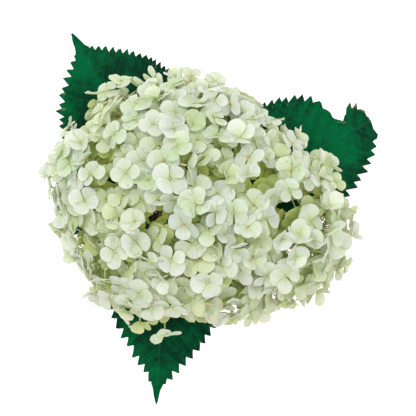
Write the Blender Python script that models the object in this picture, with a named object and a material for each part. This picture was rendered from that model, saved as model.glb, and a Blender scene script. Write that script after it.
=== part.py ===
"""A potted hydrangea: one broad white flower head on a single stem, with three large toothed leaves
just under the head, three smaller ones further down, and a plain clay pot filled with compost.

The origin is the middle of the pot's base, +Z is up, and sizes are in metres.
"""

import math
from typing import NamedTuple

import bmesh
import bpy
import numpy as np
from mathutils import Matrix, Vector

MM = 0.001
GAP = 0.3 * MM  # left between pieces that rest on or in each other
WELD = 0.001 * MM
GOLDEN_ANGLE = math.pi * (3 - math.sqrt(5))
FULL_TURN = 2 * math.pi

# Pot: a tapered clay pot with a plain collar, a flat base and drain holes around its middle.
POT_HEIGHT = 105 * MM
POT_COLLAR_RADIUS = 62 * MM
POT_COLLAR_HEIGHT = 17 * MM
POT_COLLAR_STEP = 2.6 * MM
POT_BASE_RADIUS = 44 * MM
POT_WALL = 4 * MM
POT_FLOOR = 5 * MM
POT_EDGE = 1.2 * MM
POT_SEGMENTS = 40  # the compost has as many, so that it fits the pot all the way round
DRAIN_HOLES = 4
DRAIN_HOLE_RADIUS = 5 * MM
DRAIN_CIRCLE_RADIUS = 24 * MM
DRAIN_HOLE_SEGMENTS = 12

# Compost, mounded a little towards the stem that is planted in it.
SOIL_BELOW_RIM = 13 * MM
SOIL_MOUND = 4 * MM
PLANTING_DEPTH = 38 * MM

# Stem, from its foot in the compost to the upper whorl of leaves.
STEM_FOOT_RADIUS = 5 * MM
STEM_TOP_RADIUS = 3.4 * MM
STEM_NODE_SWELL = 1 * MM
STEM_SIDES = 10
UPPER_WHORL_HEIGHT = 113 * MM  # above the compost
LOWER_WHORL_SHARE = 0.51  # of the upper whorl's height
STEM_ABOVE_WHORL = 3 * MM

# Leaves. An outline is (distance along the blade, share of its half width, teeth included).
POINTED_OUTLINE = (
    (0.00, 0.07),
    (0.06, 0.60),
    (0.16, 0.92),
    (0.32, 1.00),
    (0.48, 0.97),
    (0.60, 0.84),
    (0.70, 0.60),
    (0.78, 0.37),
    (0.84, 0.21),
    (0.91, 0.09),
    (1.00, 0.015),
)
BLUNT_OUTLINE = (
    (0.00, 0.07),
    (0.06, 0.55),
    (0.16, 0.85),
    (0.36, 1.00),
    (0.58, 0.95),
    (0.76, 0.70),
    (0.88, 0.49),
    (0.95, 0.31),
    (1.00, 0.06),
)
LEAF_THICKNESS = 0.6 * MM
TOOTH_DEPTH = 2.3 * MM
TOOTH_LEAN = 0.6  # how far each tooth points to the tip, as a share of the step between rows
PETIOLE_RADIUS = 1.5 * MM
MIDRIB_DEPTH = 1.1 * MM  # how far the midrib stands proud under the blade


class Leaf(NamedTuple):
    """One leaf. Angles are in degrees: azimuths from +X, slopes and the fold from level."""

    name: str
    whorl: str
    outline: tuple
    azimuth: float
    turn: float  # of the midrib towards its left, from the stem to the tip
    petiole: float
    blade: float
    width: float
    teeth: int
    first_slope: float
    last_slope: float
    fold: float  # of each half of the blade above the midrib


LEAVES = (
    Leaf("leaf_right", "upper", BLUNT_OUTLINE, 15.5, 15, 20 * MM, 119 * MM, 80 * MM, 15, 14, -38, 8),
    Leaf("leaf_back_left", "upper", POINTED_OUTLINE, 121.6, 0, 18 * MM, 106 * MM, 82 * MM, 14, 16, -24, 7),
    Leaf("leaf_front", "upper", POINTED_OUTLINE, 262, 8, 18 * MM, 108 * MM, 66 * MM, 14, 16, -24, 9),
    Leaf("lower_leaf_back", "lower", POINTED_OUTLINE, 73, 5, 12 * MM, 64 * MM, 42 * MM, 10, 30, -50, 12),
    Leaf("lower_leaf_left", "lower", POINTED_OUTLINE, 190, -5, 13 * MM, 70 * MM, 45 * MM, 10, 28, -52, 12),
    Leaf("lower_leaf_right", "lower", POINTED_OUTLINE, 322, 6, 14 * MM, 74 * MM, 48 * MM, 10, 26, -48, 12),
)
LEAF_LATE_BEND = 1.6  # above 1, more of a leaf's bending is near its tip

# Flower head: a flattened dome, wider than it is tall, whose outline bulges unevenly.
HEAD_ABOVE_WHORL = 56 * MM  # from the upper leaves to the head's widest level
HEAD_LEAN_X = 11.6 * MM
HEAD_LEAN_Y = -1.2 * MM
HEAD_RADIUS = 78.5 * MM
HEAD_RISE = 58 * MM
HEAD_DROP = 34 * MM
HEAD_SKIRT = math.radians(116)  # how far round from the top the florets reach
# number of bulges, share of the radius, azimuth of a bulge
HEAD_LOBES = (
    (2, 0.12, math.radians(-18.6)),
    (3, 0.063, math.radians(-9.2)),
    (4, 0.04, math.radians(-18.5)),
)

# Flower stalk: it leaves the stem's top and splits into rays, and each ray bears several clusters.
CROWN_BELOW_HEAD = 26 * MM
STALK_RADIUS = 3 * MM
CROWN_RADIUS = 5 * MM
CROWN_HEIGHT = 7 * MM
SIDE_RAYS = 6
RAY_SPREAD = math.radians(68)  # of the side rays, from straight up
RAY_RISE = 12 * MM
RAY_LENGTH = 30 * MM
RAY_RADIUS = 1.6 * MM
KNUCKLE_RADIUS = 3.2 * MM
KNUCKLE_RINGS = ((-0.7, 0.7), (0, 1), (0.7, 0.7))  # place along the ray and radius, as shares

# Clusters: each is a stalk that divides into one thin pedicel for each of its florets.
CLUSTERS = 24
CLUSTER_STALK_RADIUS = 1 * MM
CLUSTER_FORK_RADIUS = 2.2 * MM
CLUSTER_FORK_HEIGHT = 3 * MM
FORK_BELOW_FLORETS = 22 * MM
PEDICEL_RADIUS = 0.6 * MM

# Florets: four broad sepals around a small square eye.
FLORET_RADIUS = 8.7 * MM
EYE_RADIUS = 1.6 * MM
SEPAL_THICKNESS = 0.7 * MM
SEPAL_CUP = 1.3 * MM  # how far a sepal's end stands above the eye
# distance from the eye to the sepal's end, and half width, as shares of the floret's radius
SEPAL_STATIONS = ((0.62, 0.54), (1.0, 0.32))
FLORET_CLEARANCE = 0.7 * MM
FLORET_TRIES = 6000

SOIL_TOP = POT_HEIGHT - SOIL_BELOW_RIM
HEAD_CENTRE = Vector((HEAD_LEAN_X, HEAD_LEAN_Y, SOIL_TOP + UPPER_WHORL_HEIGHT + HEAD_ABOVE_WHORL))
CROWN_BASE = HEAD_CENTRE - Vector((0, 0, CROWN_BELOW_HEAD))
UP = Vector((0, 0, 1))


def clear_scene():
    for obj in list(bpy.data.objects):
        bpy.data.objects.remove(obj)


def make_material(name, colour, roughness):
    """A plain finish: colour, roughness and no metal."""
    material = bpy.data.materials.new(name)
    material.use_nodes = True
    shader = material.node_tree.nodes["Principled BSDF"]
    shader.inputs["Base Color"].default_value = (*colour, 1)
    shader.inputs["Roughness"].default_value = roughness
    shader.inputs["Metallic"].default_value = 0
    material.diffuse_color = (*colour, 1)
    return material


def add_object(name, bm, material, parent=None, sharp_angle=None):
    """Turns a bmesh into a named object under the plant's empty, shaded smooth if an angle is given."""
    mesh = bpy.data.meshes.new(name)
    bm.to_mesh(mesh)
    bm.free()
    if sharp_angle is not None:
        mesh.shade_smooth()
        mesh.set_sharp_from_angle(angle=math.radians(sharp_angle))
    mesh.materials.append(material)
    obj = bpy.data.objects.new(name, mesh)
    obj.parent = parent
    bpy.context.scene.collection.objects.link(obj)
    return obj


def turn_profile(profile, segments):
    """A body of revolution about Z from (radius, height) points that start and end on its axis."""
    bm = bmesh.new()
    verts = [bm.verts.new((radius, 0, height)) for radius, height in profile]
    edges = [bm.edges.new(pair) for pair in zip(verts, verts[1:])]
    bmesh.ops.spin(
        bm,
        geom=verts + edges,
        cent=(0, 0, 0),
        axis=UP,
        angle=FULL_TURN,
        steps=segments,
        use_merge=True,
    )
    bmesh.ops.remove_doubles(bm, verts=bm.verts, dist=WELD)
    bmesh.ops.recalc_face_normals(bm, faces=bm.faces)
    return bm


def start_tube(bm, centre, direction, radius, sides):
    """A flat regular face that looks along direction, with a back, ready to be extruded."""
    turn = direction.to_track_quat("Z", "Y").to_matrix().to_4x4()
    made = bmesh.ops.create_circle(
        bm,
        cap_ends=True,
        segments=sides,
        radius=radius,
        matrix=Matrix.Translation(centre) @ turn,
    )
    face = made["verts"][0].link_faces[0]
    face.normal_update()
    if face.normal.dot(direction) < 0:
        face.normal_flip()
    back = face.copy()
    back.normal_flip()
    return face


def extrude_to(bm, face, points):
    """Extrudes one face, and moves the corners of its new end to these points."""
    end = bmesh.ops.extrude_discrete_faces(bm, faces=[face])["faces"][0]
    for vert, point in zip(end.verts, points):
        vert.co = point
    end.normal_update()
    return end


def extrude_round(bm, face, centre, direction, radius):
    """Extrudes one face to a regular end of this radius about centre, facing along direction."""
    direction = direction.normalized()
    across = face.verts[0].co - face.calc_center_median()
    across = (across - direction * across.dot(direction)).normalized()
    steps = len(face.verts)
    turned = [
        Matrix.Rotation(FULL_TURN * step / steps, 3, direction) @ across
        for step in range(steps)
    ]
    return extrude_to(bm, face, [centre + side * radius for side in turned])


def build_pot(material, parent):
    wall_top = POT_COLLAR_RADIUS - POT_COLLAR_STEP
    collar_foot = POT_HEIGHT - POT_COLLAR_HEIGHT
    inner_rim = wall_top - POT_WALL
    profile = (
        (0, POT_FLOOR),
        (inner_base_radius(), POT_FLOOR),
        (inner_rim, POT_HEIGHT - POT_EDGE),
        (inner_rim + POT_EDGE, POT_HEIGHT),
        (POT_COLLAR_RADIUS - POT_EDGE, POT_HEIGHT),
        (POT_COLLAR_RADIUS, POT_HEIGHT - POT_EDGE),
        (POT_COLLAR_RADIUS - POT_EDGE / 2, collar_foot),
        (wall_top, collar_foot - POT_EDGE),
        (POT_BASE_RADIUS, POT_EDGE),
        (POT_BASE_RADIUS - POT_EDGE, 0),
        (0, 0),
    )
    pot = add_object(
        "pot", turn_profile(profile, POT_SEGMENTS), material, parent, sharp_angle=30
    )
    for hole in range(DRAIN_HOLES):
        azimuth = FULL_TURN * (hole + 0.5) / DRAIN_HOLES
        cutter_bm = bmesh.new()
        bmesh.ops.create_cone(
            cutter_bm,
            cap_ends=True,
            segments=DRAIN_HOLE_SEGMENTS,
            radius1=DRAIN_HOLE_RADIUS,
            radius2=DRAIN_HOLE_RADIUS,
            depth=3 * POT_FLOOR,
        )
        cutter = add_object(f"drain_cutter_{hole + 1}", cutter_bm, material, parent)
        cutter.location = (
            DRAIN_CIRCLE_RADIUS * math.cos(azimuth),
            DRAIN_CIRCLE_RADIUS * math.sin(azimuth),
            POT_FLOOR / 2,
        )
        cutter.hide_render = True
        cutter.display_type = "WIRE"
        drain = pot.modifiers.new(f"drain_hole_{hole + 1}", "BOOLEAN")
        drain.object = cutter
        drain.operation = "DIFFERENCE"
    return pot


def inner_base_radius():
    """Radius of the pot's inside at its floor."""
    return pot_inner_radius(POT_FLOOR)


def pot_inner_radius(height):
    """Radius of the pot's inside at a height: its wall is a straight taper from the base to the collar."""
    wall_top = POT_COLLAR_RADIUS - POT_COLLAR_STEP
    share = height / (POT_HEIGHT - POT_EDGE)
    return POT_BASE_RADIUS + (wall_top - POT_BASE_RADIUS) * share - POT_WALL


def build_soil(material, parent):
    """A plug of compost that stands on the pot's floor, with a well where the stem is planted."""
    floor = POT_FLOOR + GAP
    top = SOIL_TOP
    well_radius = STEM_FOOT_RADIUS + GAP
    mound = top + SOIL_MOUND
    well_floor = top - PLANTING_DEPTH - GAP
    middle = (well_radius + pot_inner_radius(top)) / 2
    profile = (
        (0, well_floor),
        (well_radius, well_floor),
        (well_radius, mound),
        (middle, top + SOIL_MOUND * 0.6),
        (pot_inner_radius(top) - GAP - SOIL_MOUND, top + SOIL_MOUND * 0.1),
        (pot_inner_radius(top) - GAP, top),
        (pot_inner_radius(floor) - GAP, floor),
        (0, floor),
    )
    return add_object(
        "soil", turn_profile(profile, POT_SEGMENTS), material, parent, sharp_angle=50
    )


def stem_radius(height):
    """Radius of the stem at a height: it tapers, and swells at each whorl of leaves."""
    foot = SOIL_TOP - PLANTING_DEPTH
    top = SOIL_TOP + UPPER_WHORL_HEIGHT + STEM_ABOVE_WHORL
    share = min(1, max(0, (height - foot) / (top - foot)))
    radius = STEM_FOOT_RADIUS + (STEM_TOP_RADIUS - STEM_FOOT_RADIUS) * share
    nearest = min(abs(height - whorl_height(whorl)) for whorl in ("lower", "upper"))
    reach = 2 * STEM_ABOVE_WHORL
    return radius + STEM_NODE_SWELL * max(0, 1 - nearest / reach)


def whorl_height(whorl):
    share = 1 if whorl == "upper" else LOWER_WHORL_SHARE
    return SOIL_TOP + UPPER_WHORL_HEIGHT * share


def build_stem(material, parent):
    foot = SOIL_TOP - PLANTING_DEPTH
    top = whorl_height("upper") + STEM_ABOVE_WHORL
    reach = 2 * STEM_ABOVE_WHORL
    heights = [foot, SOIL_TOP + SOIL_MOUND]
    for whorl in ("lower", "upper"):
        at = whorl_height(whorl)
        heights += [at - reach, at, at + reach]
    heights = [height for height in heights if height < top] + [top]
    bm = bmesh.new()
    face = start_tube(bm, Vector((0, 0, foot)), UP, stem_radius(foot), STEM_SIDES)
    for height in heights[1:]:
        face = extrude_round(
            bm, face, Vector((0, 0, height)), UP, stem_radius(height)
        )
    bmesh.ops.remove_doubles(bm, verts=bm.verts, dist=WELD)
    return add_object("stem", bm, material, parent, sharp_angle=40)


def level_direction(degrees):
    angle = math.radians(degrees)
    return Vector((math.cos(angle), math.sin(angle), 0))


def midrib(leaf, steps):
    """(point, direction along, direction to the left) at even steps from a leaf's foot to its tip."""
    height = whorl_height(leaf.whorl)
    point = level_direction(leaf.azimuth) * (stem_radius(height) + GAP) + UP * height
    line = []
    for step in range(steps + 1):
        share = step / steps
        bend = (leaf.last_slope - leaf.first_slope) * share**LEAF_LATE_BEND
        slope = math.radians(leaf.first_slope + bend)
        out = level_direction(leaf.azimuth + leaf.turn * share)
        along = out * math.cos(slope) + UP * math.sin(slope)
        line.append((point.copy(), along, UP.cross(out)))
        point += along * (leaf.petiole + leaf.blade) / steps
    return line


def build_leaf(leaf, material, parent):
    """A stalk that widens into a toothed blade: one closed loft of eight-cornered sections."""
    line = midrib(leaf, steps=90)
    lift = math.tan(math.radians(leaf.fold))

    def section(distance, half, lean, thickness, rib):
        """Eight corners round the leaf: five across its top, then three back under it."""
        share = distance / (leaf.petiole + leaf.blade)
        middle, along, left = line[round(share * (len(line) - 1))]
        over = along.cross(left)
        across = [(side, 0) for side in (1, 0.5, 0, -0.5, -1)]
        across += [(side, thickness + (0 if side else rib)) for side in (-0.5, 0, 0.5)]
        return [
            middle
            + left * half * side
            + over * (half * abs(side) * lift - down)
            + along * lean * side**2
            for side, down in across
        ]

    bm = bmesh.new()
    stalk = (PETIOLE_RADIUS, 0, PETIOLE_RADIUS, PETIOLE_RADIUS * 0.6)
    face = bm.faces.new([bm.verts.new(corner) for corner in section(0, *stalk)])
    face.copy().normal_flip()
    face = extrude_to(bm, face, section(leaf.petiole / 2, *stalk))
    rows = 2 * leaf.teeth
    for row in range(rows + 1):
        share = row / rows
        half = leaf.width / 2 * float(np.interp(share, *zip(*leaf.outline)))
        lean = TOOTH_LEAN * leaf.blade / rows
        if row % 2 == 0:
            half -= min(TOOTH_DEPTH, half * 0.4)
            lean = 0
        rib = MIDRIB_DEPTH * (1 - share)
        corners = section(leaf.petiole + leaf.blade * share, half, lean, LEAF_THICKNESS, rib)
        face = extrude_to(bm, face, corners)
    bmesh.ops.remove_doubles(bm, verts=bm.verts, dist=WELD)
    return add_object(leaf.name, bm, material, parent)


def head_radius(azimuth):
    """The head's radius at its widest level, which its lobes make uneven."""
    lobes = sum(
        share * math.cos(order * (azimuth - peak)) for order, share, peak in HEAD_LOBES
    )
    return HEAD_RADIUS * (1 + lobes)


def head_place(polar, azimuth):
    """A point on the surface the florets lie on, and the way it faces. Polar runs from the top."""
    flat = head_radius(azimuth)
    tall = HEAD_RISE if polar < math.pi / 2 else HEAD_DROP
    ring, height = math.sin(polar), math.cos(polar)
    side = Vector((math.cos(azimuth), math.sin(azimuth), 0))
    point = HEAD_CENTRE + side * flat * ring + UP * tall * height
    return point, (side * ring / flat + UP * height / tall).normalized()


def spiral(count, lowest):
    """Evenly spread (polar, azimuth) directions, from the top down to the lowest polar angle."""
    for step in range(count):
        level = 1 - (step + 0.5) / count * (1 - math.cos(lowest))
        yield math.acos(level), step * GOLDEN_ANGLE


def floret_places():
    """Places on the head that keep a floret's width from each other, filled from the top down."""
    end_share, end_half = SEPAL_STATIONS[-1]
    wide_share, wide_half = SEPAL_STATIONS[0]
    corner = max(math.hypot(end_share, end_half), math.hypot(wide_share, wide_half))
    spacing = 2 * FLORET_RADIUS * corner + FLORET_CLEARANCE
    found = []
    for polar, azimuth in spiral(FLORET_TRIES, HEAD_SKIRT):
        point, facing = head_place(polar, azimuth)
        if all((point - other).length >= spacing for other, _ in found):
            found.append((point, facing))
    return found


def cluster_middles():
    return [head_place(polar, azimuth) for polar, azimuth in spiral(CLUSTERS, HEAD_SKIRT)]


def nearest(point, others):
    """Index of the point in others that lies nearest."""
    return min(range(len(others)), key=lambda i: (others[i] - point).length)


def ray_paths():
    """(first bend, end, direction of the end) of each ray: one straight up, then the side rays."""
    crown_top = CROWN_BASE + UP * CROWN_HEIGHT
    paths = [(crown_top + UP * RAY_RISE / 2, crown_top + UP * RAY_LENGTH * 0.6, UP)]
    for ray in range(SIDE_RAYS):
        azimuth = FULL_TURN * ray / SIDE_RAYS
        side = Vector((math.cos(azimuth), math.sin(azimuth), 0))
        out = side * math.sin(RAY_SPREAD) + UP * math.cos(RAY_SPREAD)
        bend = crown_top + side * (CROWN_RADIUS + RAY_RISE) + UP * RAY_RISE / 3
        reach = RAY_LENGTH * head_radius(azimuth) / HEAD_RADIUS
        paths.append((bend, bend + out * (reach - RAY_RISE / 2), out))
    return paths


def add_ray(bm, face, bend, end, out):
    """Grows a ray from one face of the crown, through its bend, to a knuckle at its end."""
    first = (bend - face.calc_center_median()).normalized()
    face = extrude_round(bm, face, bend, first + out, RAY_RADIUS)
    face = extrude_round(bm, face, end - out * 2 * KNUCKLE_RADIUS, out, RAY_RADIUS)
    for along, wide in KNUCKLE_RINGS:
        middle = end + out * KNUCKLE_RADIUS * along
        face = extrude_round(bm, face, middle, out, KNUCKLE_RADIUS * wide)


def knuckle_reach(out, direction):
    """How far the knuckle of a ray that points along out reaches from its middle in a direction."""
    along = direction.dot(out)
    aside = math.sqrt(max(0, 1 - along**2))
    return KNUCKLE_RADIUS * max(ring * along + wide * aside for ring, wide in KNUCKLE_RINGS)


def build_flower_stalk(material, parent):
    """The stalk from the stem's top to the crown, where it forks into its rays."""
    foot = Vector((0, 0, whorl_height("upper") + STEM_ABOVE_WHORL + GAP))
    lean = (CROWN_BASE - foot).normalized()
    bm = bmesh.new()
    face = start_tube(bm, foot, UP, STALK_RADIUS, SIDE_RAYS)
    face = extrude_round(bm, face, foot.lerp(CROWN_BASE, 0.5), lean, STALK_RADIUS)
    low = extrude_round(bm, face, CROWN_BASE, UP, CROWN_RADIUS)
    top = extrude_round(
        bm, low, CROWN_BASE + UP * CROWN_HEIGHT, UP, CROWN_RADIUS * 0.7
    )
    sides = [f for edge in top.edges for f in edge.link_faces if f is not top]
    paths = ray_paths()
    for face in sides:
        face.normal_update()
        middle = face.calc_center_median()
        bends = [bend for bend, _, _ in paths[1:]]
        add_ray(bm, face, *paths[1 + nearest(middle, bends)])
    add_ray(bm, top, *paths[0])
    bmesh.ops.remove_doubles(bm, verts=bm.verts, dist=WELD)
    return add_object("flower_stalk", bm, material, parent)


def add_floret(bm, face, place, facing):
    """Grows a pedicel from one face to an eye at place, and spreads the eye's four sides into sepals."""
    neck = place - facing * SEPAL_THICKNESS * 2
    along = (neck - face.calc_center_median()).normalized()
    face = extrude_round(bm, face, neck, along + facing, PEDICEL_RADIUS)
    half = facing * SEPAL_THICKNESS / 2
    low = extrude_round(bm, face, place - half, facing, EYE_RADIUS)
    top = extrude_round(bm, low, place + half, facing, EYE_RADIUS)
    sides = [f for edge in top.edges for f in edge.link_faces if f is not top]
    for side in sides:
        out = side.calc_center_median() - place
        out = (out - facing * out.dot(facing)).normalized()
        across = facing.cross(out)
        for reach, half_width in SEPAL_STATIONS:
            middle = place + out * FLORET_RADIUS * reach + facing * SEPAL_CUP * reach**2
            corners = []
            for vert in side.verts:
                offset = vert.co - side.calc_center_median()
                wide = math.copysign(FLORET_RADIUS * half_width, offset.dot(across))
                deep = math.copysign(SEPAL_THICKNESS / 2, offset.dot(facing))
                corners.append(middle + across * wide + facing * deep)
            side = extrude_to(bm, side, corners)


def build_cluster(name, middle, ray, florets, material, parent):
    """One stalk that starts at its ray's knuckle and forks below its florets."""
    _, knuckle, ray_out = ray
    fork = middle + (knuckle - middle).normalized() * FORK_BELOW_FLORETS
    out = (fork - knuckle).normalized()
    foot = knuckle + out * (knuckle_reach(ray_out, out) + GAP)
    bm = bmesh.new()
    face = start_tube(bm, foot, out, CLUSTER_STALK_RADIUS, max(3, len(florets)))
    low = extrude_round(bm, face, fork, out, CLUSTER_FORK_RADIUS)
    top = extrude_round(
        bm, low, fork + out * CLUSTER_FORK_HEIGHT, out, CLUSTER_FORK_RADIUS * 0.6
    )
    across = out.orthogonal().normalized()

    def bearing(point):
        """Angle of a point round the cluster's own axis."""
        offset = point - fork
        return math.atan2(offset.dot(out.cross(across)), offset.dot(across))

    sides = [f for edge in top.edges for f in edge.link_faces if f is not top]
    sides.sort(key=lambda side: bearing(side.calc_center_median()))
    turns = sorted(florets, key=lambda floret: bearing(floret[0]))
    for side, (place, facing) in zip(sides, best_turn(sides, turns, bearing)):
        add_floret(bm, side, place, facing)
    bmesh.ops.remove_doubles(bm, verts=bm.verts, dist=WELD)
    return add_object(name, bm, material, parent)


def best_turn(sides, florets, bearing):
    """The florets as a ring, turned so that each one meets the side of the fork that faces it best."""

    def miss(start):
        total = 0
        for side, floret in zip(sides, florets[start:] + florets[:start]):
            angle = bearing(side.calc_center_median()) - bearing(floret[0])
            total += 1 - math.cos(angle)
        return total

    start = min(range(max(1, len(florets))), key=miss)
    return florets[start:] + florets[:start]


def build_clusters(material, parent):
    middles = [point for point, _ in cluster_middles()]
    groups = [[] for _ in middles]
    for place, facing in floret_places():
        groups[nearest(place, middles)].append((place, facing))
    rays = ray_paths()
    for number, (middle, florets) in enumerate(zip(middles, groups), start=1):
        ray = rays[nearest(middle, [end for _, end, _ in rays])]
        build_cluster(f"floret_cluster_{number:02d}", middle, ray, florets, material, parent)


def main():
    clear_scene()
    plant = bpy.data.objects.new("potted_hydrangea", None)
    bpy.context.scene.collection.objects.link(plant)
    clay = make_material("clay", (0.56, 0.27, 0.16), 0.85)
    compost = make_material("compost", (0.07, 0.045, 0.03), 0.95)
    bark = make_material("stem_green", (0.22, 0.27, 0.10), 0.7)
    leaf = make_material("leaf", (0.01, 0.09, 0.03), 0.5)
    stalk = make_material("flower_stalk", (0.50, 0.58, 0.28), 0.6)
    sepal = make_material("sepal", (0.74, 0.82, 0.62), 0.6)
    build_pot(clay, plant)
    build_soil(compost, plant)
    build_stem(bark, plant)
    for each in LEAVES:
        build_leaf(each, leaf, plant)
    build_flower_stalk(stalk, plant)
    build_clusters(sepal, plant)


main()
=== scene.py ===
import math
import random

import bmesh
import bpy
from mathutils import Matrix, Vector, noise


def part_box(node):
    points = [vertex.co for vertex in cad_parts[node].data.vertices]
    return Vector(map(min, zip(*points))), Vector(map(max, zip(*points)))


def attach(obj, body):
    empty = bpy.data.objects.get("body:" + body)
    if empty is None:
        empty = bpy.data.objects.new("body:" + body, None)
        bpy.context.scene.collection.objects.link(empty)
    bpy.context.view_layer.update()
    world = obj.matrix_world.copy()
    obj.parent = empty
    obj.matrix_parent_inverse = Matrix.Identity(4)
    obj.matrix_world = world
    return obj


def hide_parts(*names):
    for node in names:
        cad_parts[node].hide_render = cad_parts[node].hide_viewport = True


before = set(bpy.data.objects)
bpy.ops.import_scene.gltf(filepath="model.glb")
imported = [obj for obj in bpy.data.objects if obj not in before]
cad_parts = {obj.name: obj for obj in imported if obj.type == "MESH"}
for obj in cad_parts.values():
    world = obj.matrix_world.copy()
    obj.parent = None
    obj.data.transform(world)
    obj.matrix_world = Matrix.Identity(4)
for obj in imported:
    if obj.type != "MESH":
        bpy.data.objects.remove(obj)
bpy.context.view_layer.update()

mm = 0.001
up = Vector((0, 0, 1))
fullTurn = 2 * math.pi
goldenAngle = math.pi * (3 - math.sqrt(5))

mound = 4 * mm  # how far the compost rises to the stem
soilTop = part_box("soil")[1][2] - mound  # level of the compost beside the pot's wall
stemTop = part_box("stem")[1][2]
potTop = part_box("pot")[1][2]
whorls = {"belowTop": 3 * mm, "lowerShare": 0.51}  # where the stem carries its leaves
upperWhorl = stemTop - whorls["belowTop"]
lowerWhorl = soilTop + (upperWhorl - soilTop) * whorls["lowerShare"]


def clamp(value, low=0.0, high=1.0):
    return min(high, max(low, value))


def ease(low, high, value):  # 0 below low, 1 above high, smooth between
    share = clamp((value - low) / (high - low))
    return share * share * (3 - 2 * share)


def readCurve(points, place):  # straight lines between (place, value) pairs
    for (a, low), (b, high) in zip(points, points[1:]):
        if place <= b:
            return low + (high - low) * clamp((place - a) / (b - a))
    return points[-1][1]


def levelDirection(degrees):
    return Vector((math.cos(math.radians(degrees)), math.sin(math.radians(degrees)), 0))


def newFinish(name, roughness=0.6, specular=0.5, **plain):
    mat = bpy.data.materials.new(name)
    mat.use_nodes = True
    shader = mat.node_tree.nodes["Principled BSDF"]
    shader.inputs["Roughness"].default_value = roughness
    shader.inputs["Specular IOR Level"].default_value = specular
    for socket, value in plain.items():
        shader.inputs[socket.replace("_", " ")].default_value = value
    return mat


def addNode(mat, kind, inputs, output=0, **settings):
    node = mat.node_tree.nodes.new("ShaderNode" + kind)
    for setting, value in settings.items():
        setattr(node, setting, value)
    for socket, value in inputs.items():
        if isinstance(value, bpy.types.NodeSocket):
            mat.node_tree.links.new(value, node.inputs[socket])
        else:
            node.inputs[socket].default_value = value
    return node.outputs[output]


def maths(mat, operation, first, second=0.0, third=0.0, clamped=False):
    return addNode(mat, "Math", {0: first, 1: second, 2: third}, operation=operation, use_clamp=clamped)


def sumOf(mat, first, second, clamped=False):
    return maths(mat, "ADD", first, second, clamped=clamped)


def product(mat, first, second):
    return maths(mat, "MULTIPLY", first, second)


def blend(mat, share, first, second, kind="MIX"):
    def colour(value):
        return value if isinstance(value, bpy.types.NodeSocket) else (*value, 1)

    return addNode(
        mat, "Mix", {0: share, 6: colour(first), 7: colour(second)}, output=2,
        data_type="RGBA", blend_type=kind, clamp_factor=True)


def spread(mat, value, low, high, toLow=0.0, toHigh=1.0):  # low to high becomes toLow to toHigh
    return addNode(
        mat, "MapRange", {0: value, 1: low, 2: high, 3: toLow, 4: toHigh},
        interpolation_type="SMOOTHSTEP")


def splitAttribute(mat, name):
    vector = addNode(mat, "Attribute", {}, output="Vector", attribute_name=name)
    node = mat.node_tree.nodes.new("ShaderNodeSeparateXYZ")
    mat.node_tree.links.new(vector, node.inputs[0])
    return vector, node.outputs[0], node.outputs[1], node.outputs[2]


def objectPlace(mat):
    return addNode(mat, "TexCoord", {}, output="Object")


def cloudy(mat, place, scale, detail=3.0, roughness=0.5):
    return addNode(
        mat, "TexNoise", {"Vector": place, "Scale": scale, "Detail": detail, "Roughness": roughness},
        output="Fac")


def cells(mat, place, scale, feature="F1", output="Distance"):
    return addNode(mat, "TexVoronoi", {"Vector": place, "Scale": scale}, output=output, feature=feature)


def joinFinish(mat, colour, roughness=None, height=None, depth=0.0002, strength=1.0):
    shader = mat.node_tree.nodes["Principled BSDF"]
    links = mat.node_tree.links
    links.new(colour, shader.inputs["Base Color"])
    if roughness is not None:
        links.new(roughness, shader.inputs["Roughness"])
    if height is not None:
        bump = addNode(
            mat, "Bump", {"Height": height, "Distance": depth, "Strength": strength}, output="Normal")
        links.new(bump, shader.inputs["Normal"])
    return mat


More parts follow.
